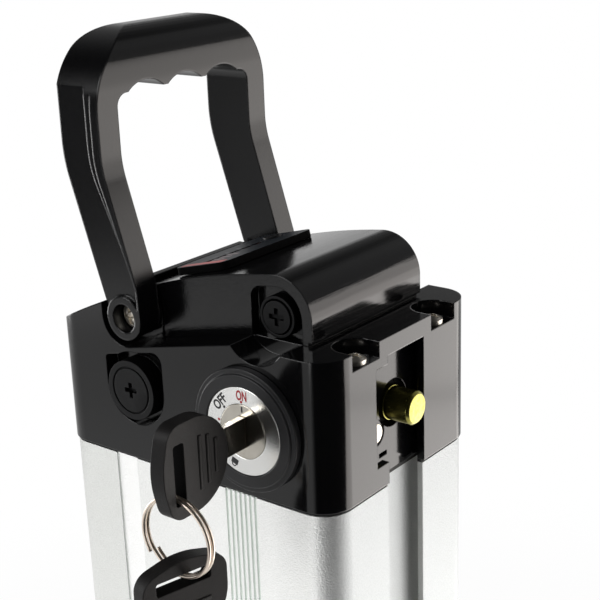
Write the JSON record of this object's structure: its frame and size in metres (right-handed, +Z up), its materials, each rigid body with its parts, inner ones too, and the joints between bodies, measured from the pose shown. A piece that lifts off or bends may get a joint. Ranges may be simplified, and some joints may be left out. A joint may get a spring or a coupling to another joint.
{
  "type": "electric bicycle battery pack",
  "caption": "Upright battery pack for an electric bicycle: grooved aluminium sleeve between moulded caps, fold-down carrying handle, key lock that drives a bolt into the rail channel.",
  "frame": {"origin": "centre of the flat underside of the bottom cap", "axes": "+Z up along the sleeve, +X out of the rail face, -Y out of the lock face"},
  "size_m": [0.1138, 0.1235, 0.442],
  "materials": {
    "gloss_black": "gloss moulded",
    "matt_black": "satin moulded",
    "rubber": "matt",
    "satin_aluminium": "satin anodised",
    "nickel": "nickel plated",
    "brass": "bright",
    "dial_steel": "satin",
    "panel": "gloss film",
    "lamp": "clear tinted",
    "board": "solder mask",
    "cell_wrap": "shrink wrap",
    "insulation": "paper",
    "foam": "closed-cell foam",
    "fuse_glass": "clear"
  },
  "bodies": {
    "case": {"top_cap": "gloss_black", "hump_cover": "gloss_black", "base_cap": "gloss_black", "lock_collar": "matt_black", "side_screws": "matt_black", "side_washers": "matt_black", "fuse_holder": "matt_black", "pivot_washers": "matt_black", "charge_socket": "matt_black", "contact_block": "matt_black", "cell_holder_near": "matt_black", "cell_holder_far": "matt_black", "bms_transistors": "matt_black", "bolt_bush": "matt_black", "top_gasket": "rubber", "base_gasket": "rubber", "lead_fuse": "rubber", "lead_discharge": "rubber", "lead_gauge": "rubber", "lead_charge": "rubber", "sleeve": "satin_aluminium", "heat_sink": "satin_aluminium", "base_screws": "nickel", "cap_screws": "nickel", "pivot_screws": "nickel", "lock_spring": "nickel", "channel_rivet": "nickel", "charge_pins": "nickel", "dust_cap_pin": "nickel", "strips_near": "nickel", "strips_far": "nickel", "contact_blades": "brass", "dial_ring": "dial_steel", "lock_case": "dial_steel", "gauge_panel": "panel", "gauge_lamps": "lamp", "gauge_board": "board", "bms_board": "board", "cells": "cell_wrap", "paper_near": "insulation", "paper_far": "insulation", "foam_bottom": "foam", "foam_top": "foam", "fuse_link": "fuse_glass"},
    "handle": {"handle": "gloss_black"},
    "lock_sleeve": {"lock_sleeve": "brass"},
    "lock_barrel": {"lock_barrel": "dial_steel", "lock_cam": "nickel"},
    "lock_bolt": {"lock_bolt": "brass"},
    "key": {"key_blade": "nickel", "key_bow": "matt_black"},
    "split_ring": {"split_ring": "nickel"},
    "spare_key": {"spare_blade": "nickel", "spare_bow": "matt_black"},
    "gauge_button": {"gauge_button": "matt_black"},
    "dust_cap": {"dust_cap": "rubber"},
    "fuse_cap": {"fuse_cap": "matt_black"}
  },
  "joints": [
    {"name": "handle_fold", "type": "hinge", "parent": "case", "child": "handle", "pos_m": [-0.0226, 0, 0.3562], "axis": [0, 1, 0], "range_deg": [0, 90]},
    {"name": "lock_push", "type": "slide", "parent": "case", "child": "lock_sleeve", "axis": [0, 1, 0], "range_m": [0, 0.003], "stiffness_N_per_m": 1500, "springref_m": -0.002, "deforming": ["lock_spring"]},
    {"name": "lock_turn", "type": "hinge", "parent": "lock_sleeve", "child": "lock_barrel", "pos_m": [0.0261, -0.0416, 0.3316], "axis": [0, -1, 0], "range_deg": [0, 170]},
    {"name": "bolt_throw", "type": "slide", "parent": "case", "child": "lock_bolt", "axis": [-1, 0, 0], "range_m": [0, 0.00873]},
    {"name": "key_withdraw", "type": "slide", "parent": "lock_barrel", "child": "key", "axis": [0, -1, 0], "range_m": [0, 0.022]},
    {"name": "ring_swing", "type": "hinge", "parent": "key", "child": "split_ring", "pos_m": [0.0261, -0.071, 0.32282], "axis": [1, 0, 0], "range_deg": [-25, 10]},
    {"name": "spare_swing", "type": "hinge", "parent": "split_ring", "child": "spare_key", "pos_m": [0.0261, -0.071, 0.31092], "axis": [0, 1, 0], "range_deg": [-35, 35]},
    {"name": "gauge_press", "type": "slide", "parent": "case", "child": "gauge_button", "axis": [0.2504, 0, -0.9681], "range_m": [0, 0.0006], "stiffness_N_per_m": 400, "springref_m": -0.001},
    {"name": "dust_cap_lift", "type": "hinge", "parent": "case", "child": "dust_cap", "pos_m": [-0.02, 0.0369, 0.3427], "axis": [1, 0, 0], "range_deg": [0, 110]},
    {"name": "fuse_cap_turn", "type": "hinge", "parent": "case", "child": "fuse_cap", "pos_m": [-0.0199, -0.0385, 0.3338], "axis": [0, -1, 0], "range_deg": [0, 90]}
  ],
  "couplings": [
    {"joint": "bolt_throw", "follows": "lock_turn", "m_per_rad": 0.002942}
  ]
}
